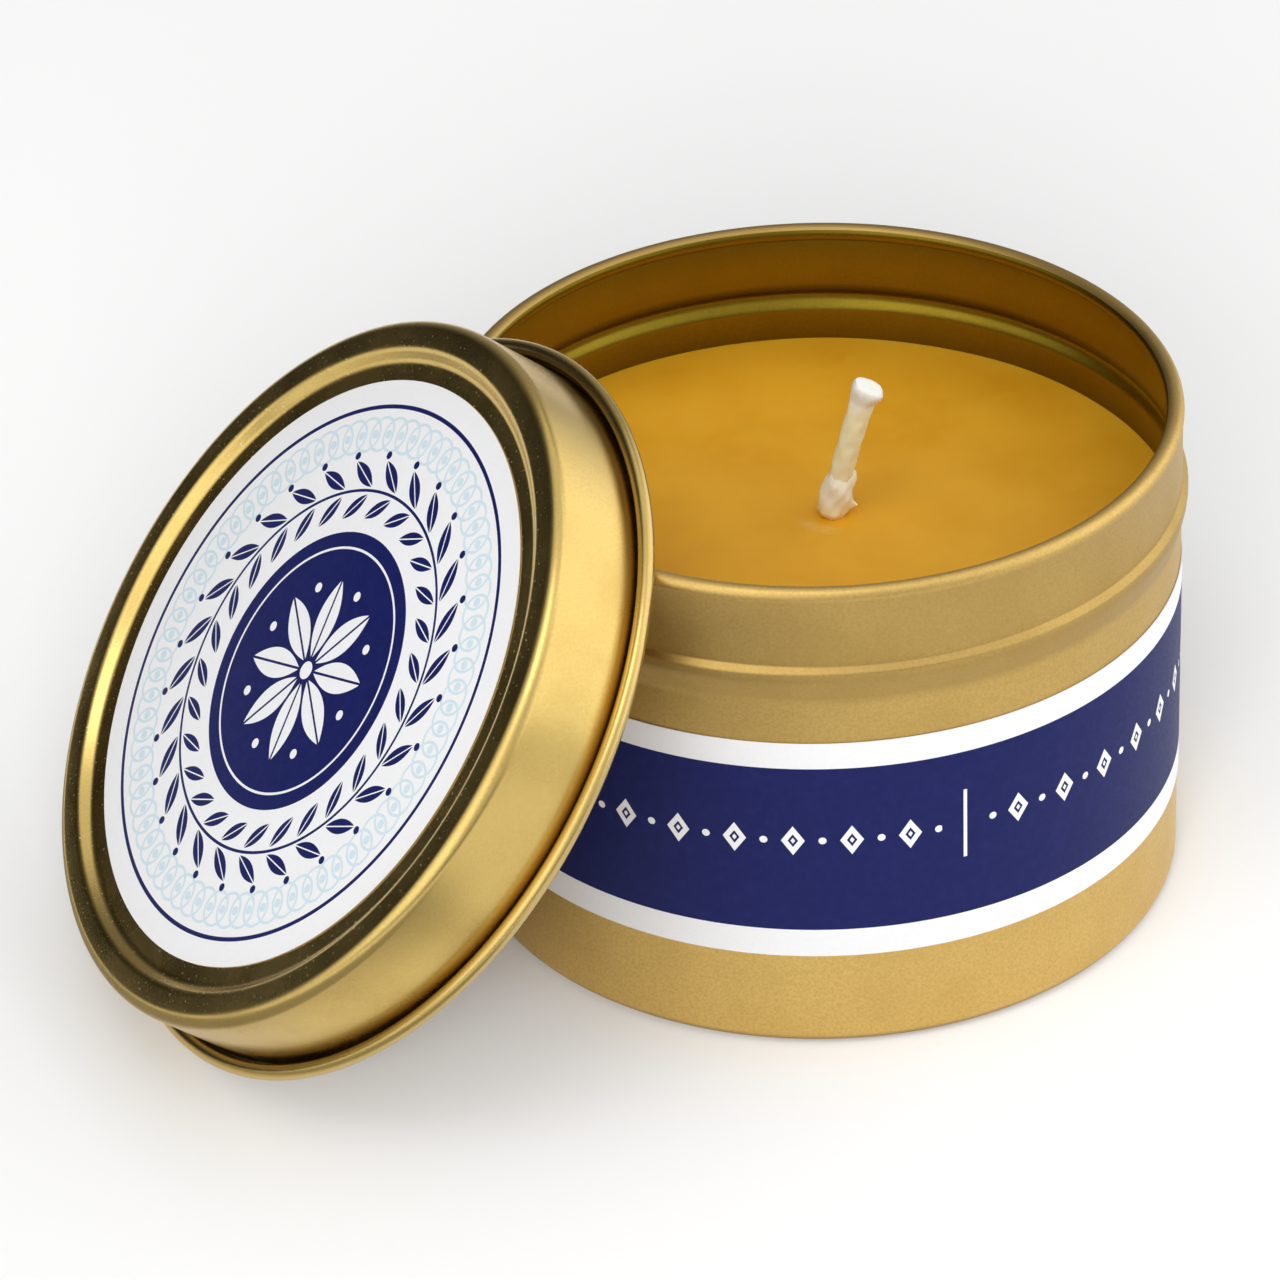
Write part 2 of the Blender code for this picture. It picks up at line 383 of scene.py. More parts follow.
class Finish(NodeSheet):
    """A Principled material with its nodes."""

    def __init__(self, name, colour, roughness, **sockets):
        self.material = bpy.data.materials.new(name)
        self.material.use_nodes = True
        super().__init__(self.material.node_tree)
        self.shader = self.tree.nodes["Principled BSDF"]
        self.shader.inputs["Base Color"].default_value = (*colour, 1.0)
        self.shader.inputs["Roughness"].default_value = roughness
        for socket, value in sockets.items():
            self.shader.inputs[socket.replace("_", " ")].default_value = value

    def colour(self, value):
        self.plug(value, self.shader.inputs["Base Color"])

    def roughness(self, value):
        self.plug(value, self.shader.inputs["Roughness"])

    def bump(self, height, distance, strength=1.0):
        step = self.node("ShaderNodeBump")
        step.inputs["Strength"].default_value = strength
        step.inputs["Distance"].default_value = distance
        self.plug(height, step.inputs["Height"])
        self.plug(step.outputs["Normal"], self.shader.inputs["Normal"])


# Colours, linear
GOLD = (0.72, 0.495, 0.165)
GOLD_LID = (0.70, 0.508, 0.168)
GOLD_DEEP = (0.58, 0.385, 0.11)
GOLD_PALE = (0.95, 0.76, 0.38)
# Painted shade on the tin's outside
GOLD_PAINTED_SHADE = (0.34, 0.22, 0.07)
# Painted shade in the crease by the lid's hem
GOLD_CREASE_SHADE = (0.46, 0.37, 0.20)
# The inside's gold: a darker copy of the outside's, painted shade inside the tin
GOLD_INSIDE_SHADED = (0.29, 0.205, 0.020)
GOLD_INSIDE_SHADED_DEEP = (0.23, 0.150, 0.010)
# Painted shade on the inner wall
GOLD_INNER_SHADE = (0.05, 0.024, 0.002)
WAX_YELLOW = (0.80, 0.40, 0.019)
WAX_DEEP = (0.69, 0.31, 0.006)
WAX_HALO = (0.84, 0.38, 0.008)
WAX_PALE = (0.88, 0.58, 0.22)
DRIP_PLAIN = (0.95, 0.84, 0.55)
DRIP_WHITE = (1.0, 0.96, 0.80)
DRIP_CREAM = (0.99, 0.91, 0.64)
# Painted warm glow at the sleeve's foot
DRIP_FOOT_GLOW = (0.97, 0.80, 0.34)
COTTON = (0.99, 0.93, 0.62)
COTTON_SOAKED = (0.99, 0.90, 0.54)
COTTON_STRAND = (0.92, 0.78, 0.46)
COTTON_TIP = (0.92, 0.90, 0.83)
PAPER_WHITE = (0.92, 0.92, 0.93)
PAPER_GREY = (0.86, 0.865, 0.88)
NAVY = (0.006, 0.010, 0.100)
NAVY_WORN = (0.011, 0.017, 0.130)
PALE_BLUE = (0.66, 0.79, 0.86)
STEEL = (0.62, 0.62, 0.60)
STEEL_STREAK = (0.45, 0.45, 0.44)
FOAM_PLAIN = (0.75, 0.75, 0.72)
FOAM = (0.80, 0.80, 0.77)
FOAM_CELL = (0.58, 0.58, 0.55)
TABLE_WHITE = (0.76, 0.76, 0.758)
BLACK = (0.02, 0.02, 0.02)

# The place and turn of the frames that finishes are laid out in
UPRIGHT = ((0.0, 0.0, 0.0), (0.0, 0.0, 0.0))
LEANING = (LID_FOOT, LID_TURN)

# Where the gold's painted shade and highlight change, and where its specks stop: heights on the tin, and
# heights or distances from the axis on the lid
SHADE_WALL = (0.030, 0.036)
SHADE_FLANK = (BEAD_FOOT, BEAD_FOOT + 0.0012)
SHADE_FOOT = (0.35 * BOTTOM_ROUND, 0.75 * BOTTOM_ROUND)
BRIGHT_CREST = (BEAD_CREST_HEIGHT - 0.0006, BEAD_CREST_HEIGHT + 0.0002)
RIM_EDGE = (TIN_HEIGHT - 0.0014, TIN_HEIGHT - 0.0007)
UNDER_RIM = (TIN_HEIGHT - 0.0012, TIN_HEIGHT - 0.0005)
BY_WAX = (WAX_LEVEL + 0.0002, WAX_LEVEL + 0.0036)
OVER_GROOVE = (GROOVE_TOP - 0.0001, GROOVE_TOP + 0.0009)
GROOVE_EDGE = (GROOVE_TOP - 0.0006, GROOVE_TOP - 0.0003)
CREASE_ON_SKIRT = (0.0006, 0.0013)
CREASE_ON_HEM = (LID_SKIRT + 0.0009, LID_SKIRT + 0.0015)
SKIRT_EDGE = (LID_SKIRT + 0.0003, LID_SKIRT + 0.0005)
SPECKS_EDGE = (LID_SKIRT - LID_CORNER - 0.0004, LID_SKIRT - LID_CORNER)

# How fine the grain of each finish is, as noise scales, and how deep its relief, in metres
GOLD_CLOUD = 140.0
GOLD_GRAIN = 3200.0
GOLD_GRAIN_RELIEF = 0.00002
GOLD_DUST = 2600.0
WAX_CLOUD = 90.0
WAX_MOTTLE = 420.0
WAX_GRAIN = 700.0
WAX_RELIEF = 0.00006
SMEAR_GRAIN = 2400.0
YARN_FIBRE = 5200.0
YARN_STRETCH = 0.12
YARN_RELIEF = 0.00008
YARN_SOAK = 500.0
DRIP_CLOUD = 900.0
DRIP_GRAIN = 1800.0
DRIP_RELIEF = 0.0001
PAPER_FIBRE = 2600.0
PAPER_RELIEF = 0.00001
INK_WEAR = 900.0
STEEL_GRAIN = 1500.0
FOAM_GRAIN = 2500.0
FOAM_RELIEF = 0.0001


def painted_shade_outside(gold, where):
    """Painted shade on the tin's outside: some on the upper wall, more on the bead's lower side and the
    neck, a little less on the bead's crest, and at the base's edge, where the dark contact is mirrored; on
    the rim, a painted highlight in front and painted shade behind.
    """
    _, angle, height = gold.polar(where)
    wall = gold.spread(height, *SHADE_WALL, 0.0, 0.25)
    flank = gold.spread(height, *SHADE_FLANK, 0.0, 0.4)
    crest = gold.spread(height, *BRIGHT_CREST, 0.0, 0.2)
    # The rim: painted highlight in front, painted shade behind
    bright = gold.spread(gold.calc("SINE", angle), -0.3, 0.7, 0.4, -0.35)
    on_rim = gold.spread(height, *RIM_EDGE, 0.0, 1.0)
    rim = gold.calc("MULTIPLY", bright, on_rim)
    foot = gold.spread(height, *SHADE_FOOT, 0.8, 0.0)
    gained = gold.calc("ADD", foot, gold.calc("ADD", wall, flank))
    return gold.calc("SUBTRACT", gained, gold.calc("ADD", crest, rim))


def painted_shade_inside(gold, where):
    """Painted shade on the inner wall: under the rim, along the groove's upper edge and down by the wax."""
    _, _, height = gold.polar(where)
    under_rim = gold.spread(height, *UNDER_RIM, 0.0, 0.45)
    by_wax = gold.spread(height, *BY_WAX, 0.36, 0.0)
    over_edge = gold.spread(height, *OVER_GROOVE, 0.85, 0.0)
    past_edge = gold.spread(height, *GROOVE_EDGE, 0.0, 1.0)
    along_edge = gold.calc("MULTIPLY", over_edge, past_edge)
    return gold.calc("ADD", along_edge, gold.calc("ADD", under_rim, by_wax))


def painted_crease_shade(gold, where):
    """Painted shade in the crease between the lid's skirt and its hem."""
    reach, _, height = gold.polar(where)
    on_skirt = gold.spread(height, *CREASE_ON_SKIRT, 0.6, 0.0)
    on_hem = gold.spread(reach, *CREASE_ON_HEM, 0.8, 0.0)
    past_skirt = gold.spread(reach, *SKIRT_EDGE, 0.0, 1.0)
    return gold.calc("MAXIMUM", on_skirt, gold.calc("MULTIPLY", on_hem, past_skirt))


def gold_lacquer(name, stance, roughness, painted_shade_mask, shade_colour, main=GOLD, deep=GOLD_DEEP, grainy=0.6, specks=0.0):
    """Gold lacquer on tinplate: a fine grain, a cloudy sheen, painted shade where the mask asks for it and,
    if asked for, pale specks.
    """
    gold = Finish(name, main, roughness, Metallic=1.0)
    where = gold.place(*stance)
    cloud = gold.noise(where, GOLD_CLOUD, 3.0)
    grain = gold.noise(where, GOLD_GRAIN, 2.0, 0.6)
    tone = gold.mix(gold.spread(grain, 0.35, 0.75, 0.0, grainy), main, deep)
    tone = gold.mix(gold.spread(cloud, 0.45, 0.75, 0.0, 0.35), tone, deep)
    rough = gold.spread(cloud, 0.3, 0.7, roughness - 0.03, roughness + 0.04)
    # Painted shade, laid on by the mask
    tone = gold.mix(painted_shade_mask(gold, where), tone, shade_colour)
    if specks:
        dust = gold.noise(where, GOLD_DUST, 1.0, 0.4)
        reach, _, _ = gold.polar(where)
        on_top = gold.spread(reach, *SPECKS_EDGE, specks, 0.0)
        spot = gold.calc("MULTIPLY", gold.spread(dust, 0.71, 0.76, 0.0, 1.0), on_top)
        tone = gold.mix(spot, tone, GOLD_PALE)
        rough = gold.calc("ADD", rough, gold.calc("MULTIPLY", spot, 0.25))
    gold.colour(tone)
    gold.roughness(rough)
    gold.bump(grain, GOLD_GRAIN_RELIEF, 0.6 * grainy)
    return gold.material


# The wax near the wick: distances from it, and the bearing, in radians, of the smear in front
HALO_REACH = (0.0018, 0.0036)
SMEAR_RING = 0.0037
SMEAR_WIDTH = (0.0002, 0.0012)
SMEAR_BEARING = math.radians(-115)
SMEAR_TURN = (0.3, 0.8)
DRY_TIP = (WAX_LEVEL + 0.0125, WAX_LEVEL + 0.0145)
DRIP_FOOT_GLOW_RISE = (WAX_LEVEL, WAX_LEVEL + 0.0022)


def beeswax():
    """Poured yellow wax: cloudy, slightly see-through, with a soft skin sheen."""
    wax = Finish("yellow_wax", WAX_YELLOW, 0.42, Subsurface_Weight=0.25, Subsurface_Scale=0.004)
    wax.shader.inputs["Subsurface Radius"].default_value = (1.0, 0.45, 0.12)
    wax.shader.inputs["Specular IOR Level"].default_value = 0.35
    where = wax.place()
    cloud = wax.noise(where, WAX_CLOUD, 4.0)
    mottle = wax.noise(where, WAX_MOTTLE, 3.0, 0.6)
    tone = wax.mix(wax.spread(cloud, 0.35, 0.7, 0.0, 0.7), WAX_YELLOW, WAX_DEEP)
    tone = wax.mix(wax.spread(mottle, 0.45, 0.8, 0.0, 0.35), tone, WAX_YELLOW)
    from_wick, bearing, _ = wax.polar(wax.place((WICK_X, WICK_Y, 0.0)))
    # A deeper orange ring round the wick
    tone = wax.mix(wax.spread(from_wick, *HALO_REACH, 0.7, 0.0), tone, WAX_HALO)
    off_ring = wax.calc("ABSOLUTE", wax.calc("SUBTRACT", from_wick, SMEAR_RING))
    off_side = wax.calc("ABSOLUTE", wax.calc("SUBTRACT", bearing, SMEAR_BEARING))
    on_ring = wax.spread(off_ring, *SMEAR_WIDTH, 1.0, 0.0)
    in_front = wax.spread(off_side, *SMEAR_TURN, 1.0, 0.0)
    broken = wax.spread(wax.noise(where, SMEAR_GRAIN, 2.0), 0.35, 0.65, 0.05, 0.45)
    smear = wax.calc("MULTIPLY", wax.calc("MULTIPLY", on_ring, in_front), broken)
    wax.colour(wax.mix(smear, tone, WAX_PALE))
    wax.roughness(wax.spread(mottle, 0.3, 0.7, 0.36, 0.50))
    wax.bump(wax.noise(where, WAX_GRAIN, 3.0), WAX_RELIEF, 0.25)
    return wax.material


def wick_yarn():
    """Braided cotton soaked in wax: darker between the strands, whiter at the dry cut tip."""
    yarn = Finish("wick_cotton", COTTON, 0.6)
    where = yarn.place()
    split = yarn.node("ShaderNodeSeparateXYZ")
    yarn.plug(where, split.inputs["Vector"])
    fibre_place = yarn.node("ShaderNodeMapping")
    fibre_place.inputs["Scale"].default_value = (1.0, 1.0, YARN_STRETCH)
    yarn.plug(where, fibre_place.inputs["Vector"])
    fibre = yarn.noise(fibre_place.outputs["Vector"], YARN_FIBRE, 2.0)
    soak = yarn.noise(where, YARN_SOAK, 2.0)
    tone = yarn.mix(yarn.spread(soak, 0.35, 0.7, 0.0, 0.6), COTTON, COTTON_SOAKED)
    dry = yarn.spread(split.outputs["Z"], *DRY_TIP, 0.0, 1.0)
    tone = yarn.mix(dry, tone, COTTON_TIP)
    yarn.colour(yarn.mix(yarn.spread(fibre, 0.45, 0.7, 0.0, 0.12), tone, COTTON_STRAND))
    yarn.bump(fibre, YARN_RELIEF, 0.5)
    return yarn.material


def wick_wax():
    """The pale wax that clings round the wick's foot, yellower towards the pool in a painted warm glow."""
    drip = Finish("wick_wax", DRIP_PLAIN, 0.5)
    drip.shader.inputs["Specular IOR Level"].default_value = 0.25
    where = drip.place()
    _, _, height = drip.polar(where)
    cloud = drip.noise(where, DRIP_CLOUD, 3.0)
    tone = drip.mix(drip.spread(cloud, 0.4, 0.7, 0.0, 0.8), DRIP_WHITE, DRIP_CREAM)
    # Painted warm glow: yellower towards the pool
    drip.colour(drip.mix(drip.spread(height, *DRIP_FOOT_GLOW_RISE, 0.9, 0.0), tone, DRIP_FOOT_GLOW))
    drip.bump(drip.noise(where, DRIP_GRAIN, 2.0), DRIP_RELIEF, 0.4)
    return drip.material


def printed_paper(name, stance, tone_of):
    """Satin label paper with faint fibre, its colour laid on by the printing."""
    paper = Finish(name, PAPER_WHITE, 0.42)
    paper.shader.inputs["Specular IOR Level"].default_value = 0.18
    where = paper.place(*stance)
    fibre = paper.noise(where, PAPER_FIBRE, 3.0, 0.6)
    ink_wear = paper.noise(where, INK_WEAR, 3.0)
    paper.colour(tone_of(paper, where, fibre, ink_wear))
    paper.roughness(paper.spread(fibre, 0.3, 0.7, 0.44, 0.54))
    paper.bump(fibre, PAPER_RELIEF, 0.25)
    return paper.material


def navy_ink(paper, ink_wear):
    return paper.mix(paper.spread(ink_wear, 0.45, 0.75, 0.0, 0.6), NAVY, NAVY_WORN)


def white_stock(paper, fibre):
    return paper.mix(paper.spread(fibre, 0.4, 0.8, 0.0, 0.5), PAPER_WHITE, PAPER_GREY)


# Side label: white edges, a navy band and a row of lozenges, dots and short rules along its middle
ROW_HEIGHT = 0.0262
ROW_COUNT = 40
LOZENGE_HALF_WIDTH = 0.00125
LOZENGE_HALF_HEIGHT = 0.0018
LOZENGE_LINE = (0.72, 0.28)
LOZENGE_SEED = 0.2
ROW_DOT = 0.00042
RULE_COUNT = 5
RULE_SHIFT = 0.44
RULE_HALF_WIDTH = 0.0002
RULE_HALF_HEIGHT = 0.0042
RULE_CLEARANCE = 0.0026
BAND_END_MARGIN = math.radians(13)


def band_print(paper, where, fibre, ink_wear):
    _, angle, height = paper.polar(where)
    navy_middle = (BAND_NAVY_TOP + BAND_NAVY_BOTTOM) / 2
    navy = paper.calc("COMPARE", height, navy_middle, (BAND_NAVY_TOP - BAND_NAVY_BOTTOM) / 2)
    rise = paper.calc("SUBTRACT", height, ROW_HEIGHT)
    across = paper.calc("MULTIPLY", paper.repeat(angle, ROW_COUNT), BAND_RADIUS)
    between = paper.calc("MULTIPLY", paper.repeat(angle, ROW_COUNT, 0.5), BAND_RADIUS)
    slant = paper.calc(
        "ADD",
        paper.calc("DIVIDE", paper.calc("ABSOLUTE", across), LOZENGE_HALF_WIDTH),
        paper.calc("DIVIDE", paper.calc("ABSOLUTE", rise), LOZENGE_HALF_HEIGHT),
    )
    lozenge = paper.calc("COMPARE", slant, *LOZENGE_LINE)
    seed = paper.calc("LESS_THAN", slant, LOZENGE_SEED)
    dot = paper.round_spot(between, rise, ROW_DOT)
    row = paper.any_of(lozenge, seed, dot)
    from_rule = paper.repeat(angle, RULE_COUNT, RULE_SHIFT)
    beside = paper.calc("ABSOLUTE", paper.calc("MULTIPLY", from_rule, BAND_RADIUS))
    rule = paper.calc("LESS_THAN", beside, RULE_HALF_WIDTH)
    rule = paper.calc("MULTIPLY", rule, paper.calc("COMPARE", rise, 0.0, RULE_HALF_HEIGHT))
    row = paper.calc("MULTIPLY", row, paper.calc("GREATER_THAN", beside, RULE_CLEARANCE))
    near_ends = paper.calc("COMPARE", angle, BAND_GAP_MIDDLE, BAND_END_MARGIN)
    row = paper.calc("MULTIPLY", row, paper.calc("SUBTRACT", 1.0, near_ends))
    white = white_stock(paper, fibre)
    tone = paper.mix(navy, white, navy_ink(paper, ink_wear))
    return paper.mix(paper.any_of(row, rule), tone, white)


# Lid label: a navy rule, a chain of pale circles, a leaf wreath and a navy middle with a rosette
RULE_RADIUS = 0.02985
RULE_HALF = 0.00024
CHAIN_RADIUS = 0.0267
CHAIN_COUNT = 36
CHAIN_CIRCLE = 0.0019
CHAIN_HALF = 0.00016
PEARL = 0.0005
WREATH_RADIUS = 0.0203
WREATH_COUNT = 28
VINE_HALF = 0.00017
LEAF_TURN = math.radians(38)
LEAF_RISE = 0.00185
LEAF_VEIN = 0.00007
OUTER_LEAF = (0.0025, 0.00085)
INNER_LEAF = (0.0022, 0.00075)
BERRY_RADIUS = WREATH_RADIUS + 0.0041
BERRY_SHIFT = 0.62
BERRY = 0.00045
MIDDLE_RADIUS = 0.0156
MIDDLE_LINE = 0.0138
MIDDLE_LINE_HALF = 0.00014
ROSETTE_COUNT = 8
PETAL_RADIUS = 0.0058
PETAL = (0.0045, 0.0017)
PETAL_VEIN = 0.00014
TIP_DOT_RADIUS = 0.0096
TIP_DOT = 0.00055
ROSETTE_EYE = 0.0010


def lid_print(paper, where, fibre, ink_wear):
    reach, angle, _ = paper.polar(where)

    def local(count, radius, shift=0.0):
        """Across and along from the nearest division, at this distance from the middle."""
        turn = paper.repeat(angle, count, shift)
        across = paper.calc("MULTIPLY", reach, paper.calc("SINE", turn))
        along = paper.calc("SUBTRACT", paper.calc("MULTIPLY", reach, paper.calc("COSINE", turn)), radius)
        return across, along

    chain = []
    for shift in (0.0, 0.5):
        chain.append(paper.round_line(*local(CHAIN_COUNT, CHAIN_RADIUS, shift), CHAIN_CIRCLE, CHAIN_HALF))
        chain.append(paper.round_spot(*local(CHAIN_COUNT, CHAIN_RADIUS, shift + 0.25), PEARL))
    across, along = local(WREATH_COUNT, WREATH_RADIUS)
    outer = paper.calc("SUBTRACT", along, LEAF_RISE)
    inner = paper.calc("ADD", along, LEAF_RISE)
    leaves = [
        paper.leaf(across, outer, LEAF_TURN, *OUTER_LEAF, LEAF_VEIN),
        paper.leaf(across, inner, -LEAF_TURN, *INNER_LEAF, LEAF_VEIN),
    ]
    vine = paper.calc("COMPARE", reach, WREATH_RADIUS, VINE_HALF)
    berry = paper.round_spot(*local(WREATH_COUNT, BERRY_RADIUS, BERRY_SHIFT), BERRY)
    rule = paper.calc("COMPARE", reach, RULE_RADIUS, RULE_HALF)
    middle = paper.calc("LESS_THAN", reach, MIDDLE_RADIUS)
    navy = paper.any_of(*leaves, vine, berry, rule, middle)
    across, along = local(ROSETTE_COUNT, PETAL_RADIUS)
    petal = paper.leaf(along, across, 0.0, *PETAL, PETAL_VEIN)
    tips = paper.round_spot(*local(ROSETTE_COUNT, TIP_DOT_RADIUS, 0.5), TIP_DOT)
    eye = paper.calc("LESS_THAN", reach, ROSETTE_EYE)
    line = paper.calc("COMPARE", reach, MIDDLE_LINE, MIDDLE_LINE_HALF)
    open_work = paper.any_of(petal, tips, eye, line)
    white = white_stock(paper, fibre)
    tone = paper.mix(paper.any_of(*chain), white, PALE_BLUE)
    tone = paper.mix(navy, tone, navy_ink(paper, ink_wear))
    return paper.mix(open_work, tone, white)


def eased(share):
    """A soft start and end between 0 and 1."""
    return share * share * (3.0 - 2.0 * share)


def tin_shell():
    """One pressed sheet: the rolled rim, the neck, the bead that stops the lid, the wall and the bottom."""
    roll = (TIN_RADIUS + RIM_PROUD - RIM_ROLL, TIN_HEIGHT - RIM_ROLL)
    meets_neck = -math.acos((TIN_RADIUS - roll[0]) / RIM_ROLL)
    line = arc(roll, RIM_ROLL, RIM_ROLL_END, meets_neck, RIM_POINTS)
    crest = TIN_RADIUS + BEAD_OUT
    line += rounded(
        [
            (TIN_RADIUS, BEAD_TOP + NECK_FOOT_RUN, 0.0),
            (TIN_RADIUS, BEAD_TOP, BEAD_TOP_ROUND),
            (crest, BEAD_TOP - BEAD_LEDGE, BEAD_CREST_ROUND),
            (crest, BEAD_CREST_FOOT, 0.0),
        ]
    )
    fade = BEAD_CREST_FOOT - BEAD_FOOT
    for k in range(1, BEAD_POINTS + 1):
        down = k / BEAD_POINTS
        line.append((crest - BEAD_OUT * eased(down), BEAD_FOOT + fade * (1 - down)))
    bottom_edge = (TIN_RADIUS - BOTTOM_ROUND, BOTTOM_ROUND)
    line += arc(bottom_edge, BOTTOM_ROUND, 0.0, -math.pi / 2, BOTTOM_POINTS)
    line += [(BOTTOM_RING, 0.0), (0.0, 0.0)]
    shell = turned("tin_shell", line)
    face_out(shell, TIN_WALL_SPOT)
    outer_points = len(shell.data.vertices)
    thickened(shell, TINPLATE)
    for point in shell.data.vertices[outer_points:]:
        if BEAD_FOOT - GROOVE_MARGIN < point.co.z < GROOVE_TOP:
            rise = (GROOVE_TOP - point.co.z) / (GROOVE_TOP - GROOVE_CREST)
            fall = (point.co.z - GROOVE_FOOT) / (GROOVE_CREST - GROOVE_FOOT)
            depth = GROOVE_DEPTH * eased(max(0.0, min(1.0, rise, fall)))
            spoke = point.co.xy.normalized() * (TIN_RADIUS - TINPLATE + depth)
            point.co.x, point.co.y = spoke
    smoothed(shell)
    # The outside's gold, with painted shade and the rim's painted highlight
    outside = gold_lacquer("gold_tin", UPRIGHT, 0.45, painted_shade_outside, GOLD_PAINTED_SHADE, grainy=0.9)
    finished(shell, outside, "tin", "tin_body")
    # The inside's gold: a darker copy, painted shade, with more painted shade in bands
    inside = gold_lacquer(
        "gold_tin_inside", UPRIGHT, 0.34, painted_shade_inside, GOLD_INNER_SHADE, GOLD_INSIDE_SHADED, GOLD_INSIDE_SHADED_DEEP
    )
    shell.data.materials.append(inside)
    for face in shell.data.polygons:
        faces_axis = face.normal.xy.dot(face.center.xy) < 0.0
        on_floor = face.center.z < BOTTOM_ROUND and face.normal.z > FLOOR_FACING
        if face.center.z < INSIDE_TOP and (faces_axis or on_floor):
            face.material_index = 1


def lid_shell():
    """One pressed sheet: the sunk panel, the step, the ring, the corner, the skirt and the rolled hem."""
    line = rounded(
        [
            (0.0, LID_PANEL_TOP, 0.0),
            (LID_PANEL_RADIUS, LID_PANEL_TOP, LID_STEP_ROUND),
            (LID_STEP_TOP, LID_DEPTH, LID_STEP_ROUND),
            (LID_SKIRT - LID_CORNER, LID_DEPTH, 0.0),
        ]
    )
    corner = (LID_SKIRT - LID_CORNER, LID_DEPTH - LID_CORNER)
    line += arc(corner, LID_CORNER, math.pi / 2, 0.0, CORNER_POINTS)[1:]
    line += rounded(
        [
            (LID_SKIRT, LID_SKIRT_MIDDLE, 0.0),
            (LID_SKIRT, TINPLATE, LID_SKIRT_ROUND),
            (LID_HEM_START, TINPLATE, 0.0),
        ],
        SKIRT_POINTS,
    )
    line += arc(LID_HEM_MIDDLE, LID_HEM_ROLL, -math.pi / 2, LID_HEM_END, HEM_POINTS)
    shell = turned("lid_shell", line)
    face_out(shell, LID_WALL_SPOT)
    thickened(shell, TINPLATE)
    smoothed(shell)
    leaned(shell)
    # The lid's gold, with painted shade in the crease by its hem
    finish = gold_lacquer(
        "gold_lid", LEANING, 0.25, painted_crease_shade, GOLD_CREASE_SHADE, GOLD_LID, GOLD_DEEP, grainy=0.45, specks=0.8
    )
    finished(shell, finish, "lid", "lid")


def wax_pool():
    """The poured wax: nearly flat, drawn up a little at the wall and dished a little round the wick."""
    line = [(WAX_RADIUS * k / WAX_POINTS, WAX_LEVEL) for k in range(WAX_POINTS)]
    line += [(WAX_RADIUS, WAX_LEVEL), (WAX_RADIUS, WAX_FOOT + WAX_FOOT_SLANT)]
    line += [(WAX_RADIUS - WAX_FOOT_SLANT, WAX_FOOT), (0.0, WAX_FOOT)]
    pool = turned("wax_pool", line, steps=WAX_STEPS)
    for point in pool.data.vertices:
        if point.co.z < WAX_LEVEL - WAX_SKIN:
            continue
        out = point.co.xy.length
        near_wick = (point.co.xy - Vector((WICK_X, WICK_Y))).length
        point.co.z += WAX_MENISCUS * math.exp((out - WAX_RADIUS) / WAX_MENISCUS_REACH)
        point.co.z -= WAX_DISH * math.exp(-((near_wick / WAX_DISH_REACH) ** 2))
        along = math.sin(point.co.x * WAX_WAVE_ALONG[0] + WAX_WAVE_ALONG[1])
        across = math.sin(point.co.y * WAX_WAVE_ACROSS[0] + WAX_WAVE_ACROSS[1])
        point.co.z += WAX_WAVE * (along * across)
    smoothed(pool, 50)
    finished(pool, beeswax(), "tin", "wax_fill")


def held(value):
    """A value kept between 0 and 1."""
    return max(0.0, min(1.0, value))


def wick_lean(height):
    """How far the wick has leaned to the right at a height above the wax."""
    return WICK_LEAN * held(height / WICK_STICK_OUT) ** WICK_BEND


# The wick's yarn: heights are above the wax
WICK_SIDES = 48
WICK_RINGS = 64
WICK_DIP = 0.001
WICK_STRANDS = 4
WICK_PITCH = 0.0034
WICK_RELIEF = (0.96, 0.04)
WICK_FLARE_START = 0.0134
WICK_FLARE_RUN = 0.0018
WICK_FLARE_SIDES = (0.7, 0.3)
WICK_EDGE = 0.0005
WICK_EDGE_ROUND = 0.16
WICK_TIP_INSETS = (0.00035, 0.0005)
WICK_CUT_START = 0.010
WICK_CUT_SLOPE = 0.45


